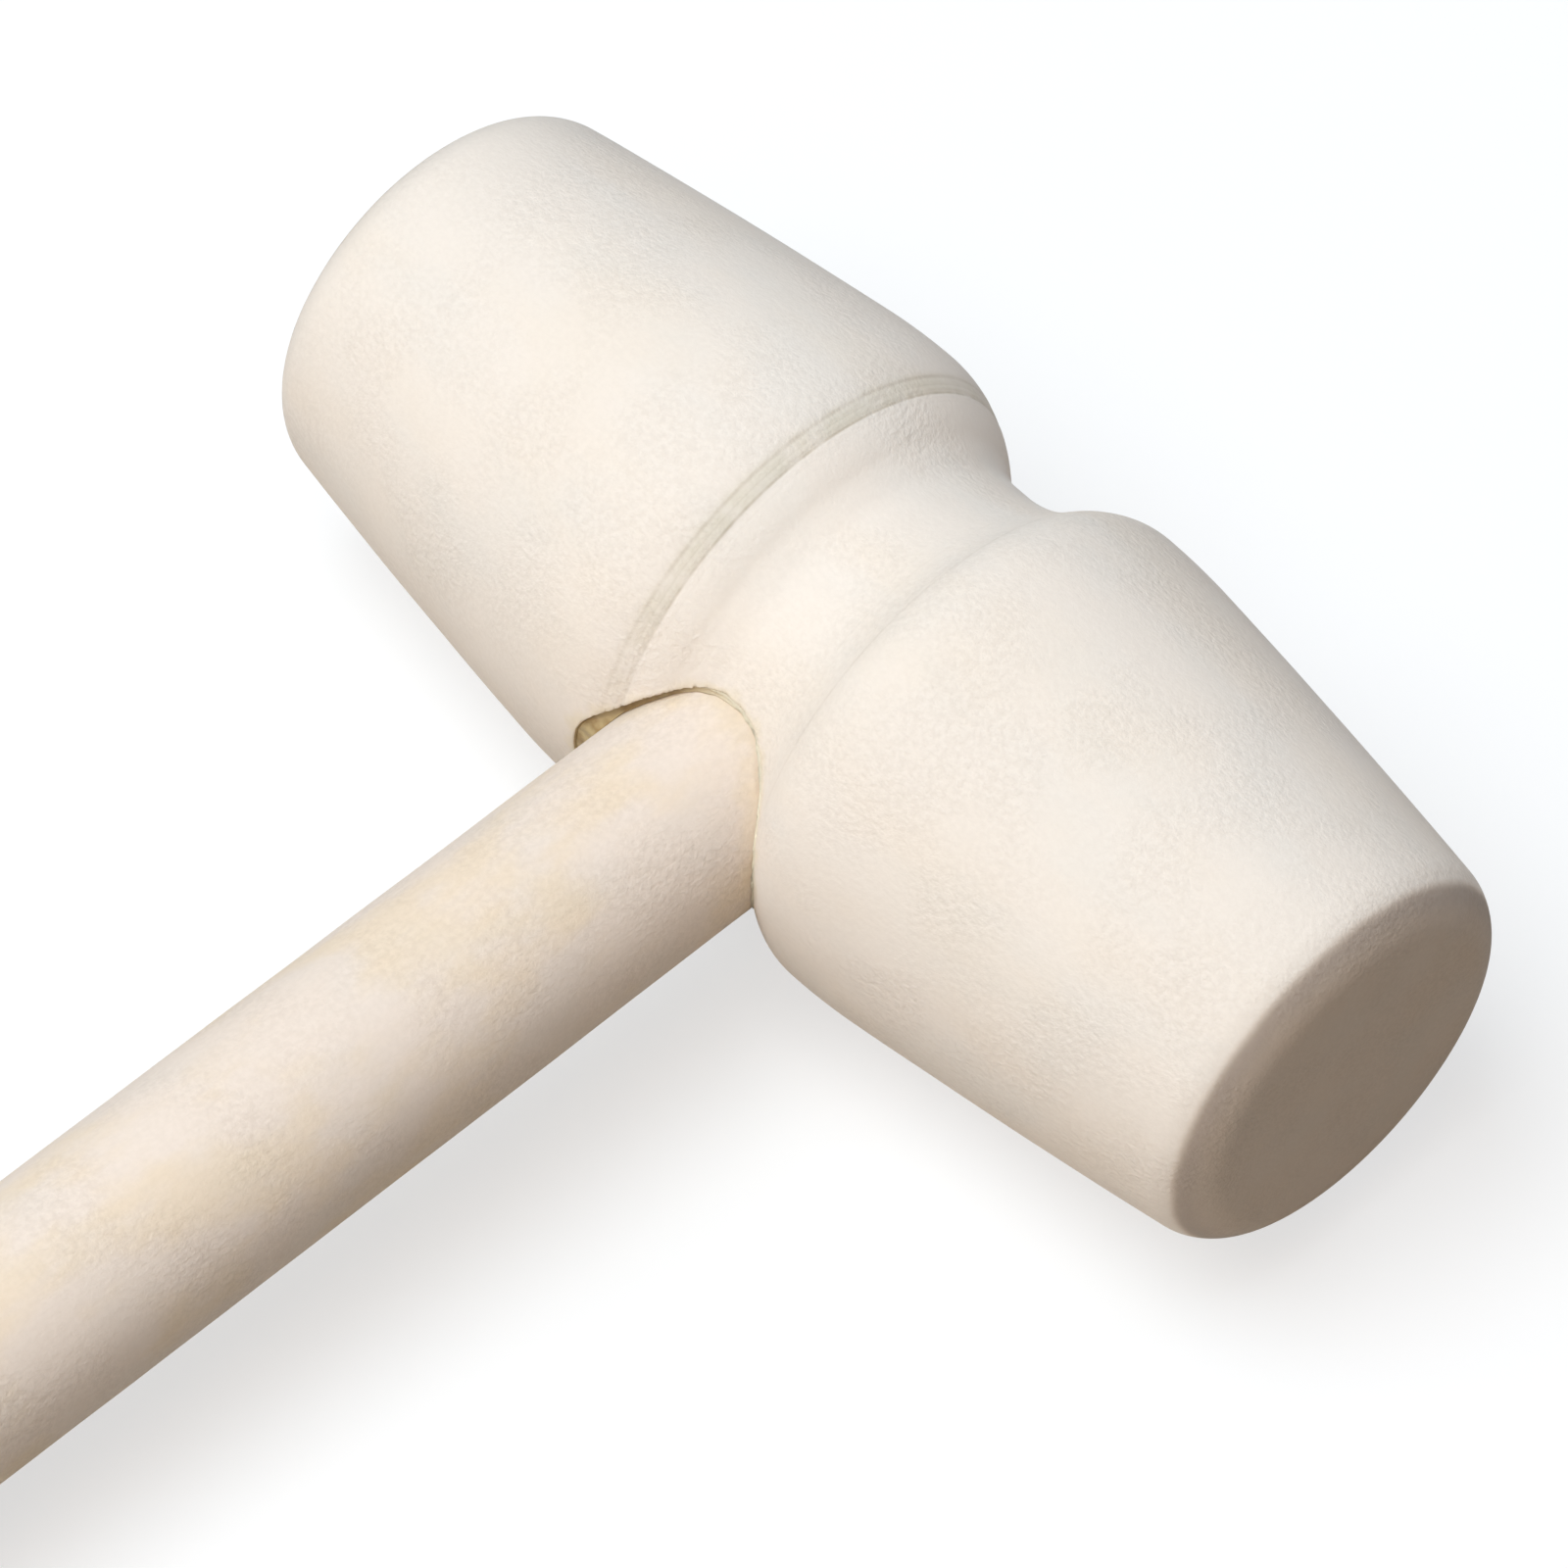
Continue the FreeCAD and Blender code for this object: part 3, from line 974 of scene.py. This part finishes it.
# Each light's name, azimuth and elevation in degrees, watts and tint.
LIGHTS = (("cool_key", 60, 66, 3.25, (0.67, 0.86, 1.0)),
          ("warm_key", 90, 62, 2.2, (1.0, 0.83, 0.69)),
          ("front_fill", 90, 20, 0.75, (1.0, 0.92, 0.86)),
          ("back_fill", 270, 35, 1.1, (0.91, 0.93, 1.0)))

# How far the lights stand from the head in metres, and their width as a share of that.
LIGHT_DISTANCE = 0.6
LIGHT_WIDTH = 0.7


def soft_light(name, azimuth, elevation, power, tint):
    """A square soft box that looks at the head. Its azimuth reads like the camera's."""
    data = bpy.data.lights.new(name, "AREA")
    data.shape = "SQUARE"
    data.size = LIGHT_DISTANCE * LIGHT_WIDTH
    data.energy = power
    data.color = tint
    light = bpy.data.objects.new(name, data)
    bpy.context.scene.collection.objects.link(light)
    direction = look_from(math.radians(azimuth), math.radians(elevation))
    place = HEAD_CENTRE + direction * LIGHT_DISTANCE
    turn = (-direction).to_track_quat("-Z", "Y").to_matrix()
    light.matrix_world = Matrix.Translation(place) @ turn.to_4x4()


def set_world(ambient, seen):
    """Even dim light from all round, and a pale backdrop where the camera sees past the floor."""
    world = bpy.data.worlds.new("studio")
    bpy.context.scene.world = world
    world.use_nodes = True
    tree = world.node_tree
    output = tree.nodes["World Output"]
    lit = tree.nodes["Background"]
    lit.inputs["Color"].default_value = ambient
    pale = put(tree, "ShaderNodeBackground", {"Color": seen})
    ray = put(tree, "ShaderNodeLightPath").outputs["Is Camera Ray"]
    mixed = put(tree, "ShaderNodeMixShader", {
        "Fac": ray, 1: lit.outputs[0], 2: pale.outputs[0]})
    tree.links.new(mixed.outputs[0], output.inputs["Surface"])


def set_floor(stage):
    bm = bmesh.new()
    bmesh.ops.create_circle(bm, cap_ends=True, segments=96, radius=stage.floor_radius)
    floor = new_object(bm, "floor", [floor_material(stage)])
    bm.free()


# ---------------------------------------------------------------- operators and panel

class MALLET_OT_head(bpy.types.Operator):
    """Turn the head, drill it and ease the mouth of the hole"""
    bl_idname = "mallet.turn_head"
    bl_label = "Turn Head"

    def execute(self, context):
        head = context.scene.mallet_head
        bm = drill(shape_head(head), drill_cutter(head))
        tree = mouth_tree(head)
        ease_mouth(bm, tree, head.mouth_softness)
        mark_joint(bm, tree, Matrix.Identity(4))
        hand_over(bm, "head", [head_material(head), bore_material()], HEAD_FRAME,
                  "turned_head")
        return {"FINISHED"}


class MALLET_OT_handle(bpy.types.Operator):
    """Round the dowel and its butt"""
    bl_idname = "mallet.round_handle"
    bl_label = "Round Handle"

    def execute(self, context):
        handle = context.scene.mallet_handle
        bm = shape_handle(handle)
        to_head = (Matrix.Scale(1 / MM, 4) @ HEAD_FRAME.inverted()
                   @ HANDLE_FRAME @ Matrix.Scale(MM, 4))
        mark_joint(bm, mouth_tree(context.scene.mallet_head), to_head)
        hand_over(bm, "handle", [handle_material(handle)], HANDLE_FRAME,
                  "dowel_handle")
        return {"FINISHED"}


class MALLET_OT_glue(bpy.types.Operator):
    """Run the glue into the joint"""
    bl_idname = "mallet.run_glue"
    bl_label = "Run Glue"

    def execute(self, context):
        scene = context.scene
        bm = shape_glue(scene.mallet_glue, scene.mallet_head, scene.mallet_handle)
        hand_over(bm, "glue", [glue_material(scene.mallet_glue)], HANDLE_FRAME,
                  "glue_joint")
        return {"FINISHED"}


class MALLET_OT_stage(bpy.types.Operator):
    """Lay the floor and set the lights and the camera"""
    bl_idname = "mallet.set_stage"
    bl_label = "Set Stage"

    def execute(self, context):
        stage = context.scene.mallet_stage
        set_floor(stage)
        set_camera(stage)
        set_world(ambient=(0.02, 0.02, 0.02, 1.0), seen=(1.0, 1.0, 1.0, 1.0))
        for light in LIGHTS:
            soft_light(*light)
        context.scene.view_settings.view_transform = "Standard"
        return {"FINISHED"}


class MALLET_PT_workshop(bpy.types.Panel):
    """The mallet's pieces and their sizes"""
    bl_label = "Wooden Mallet"
    bl_space_type = "VIEW_3D"
    bl_region_type = "UI"
    bl_category = "Mallet"

    def draw(self, context):
        for settings, operator in STEPS:
            box = self.layout.box()
            box.operator(operator)
            group_settings = getattr(context.scene, settings)
            for name in group_settings.__annotations__:
                box.prop(group_settings, name)


STEPS = (("mallet_head", "mallet.turn_head"), ("mallet_handle", "mallet.round_handle"),
         ("mallet_glue", "mallet.run_glue"), ("mallet_stage", "mallet.set_stage"))
SETTINGS = {"mallet_head": HeadSettings, "mallet_handle": HandleSettings,
            "mallet_glue": GlueSettings, "mallet_stage": StageSettings}
CLASSES = (*SETTINGS.values(), MALLET_OT_head, MALLET_OT_handle, MALLET_OT_glue,
           MALLET_OT_stage, MALLET_PT_workshop)
GROUPS = (wood_figure_group, sanding_fuzz_group, hand_toning_group, glue_haze_group)


def register():
    for cls in CLASSES:
        bpy.utils.register_class(cls)
    for name, settings in SETTINGS.items():
        setattr(bpy.types.Scene, name, PointerProperty(type=settings))


def unregister():
    for name in SETTINGS:
        delattr(bpy.types.Scene, name)
    for cls in reversed(CLASSES):
        bpy.utils.unregister_class(cls)


def main():
    register()
    for make_group in GROUPS:
        make_group()
    bpy.ops.mallet.turn_head()
    bpy.ops.mallet.round_handle()
    bpy.ops.mallet.run_glue()
    bpy.ops.mallet.set_stage()


if __name__ == "__main__":
    main()
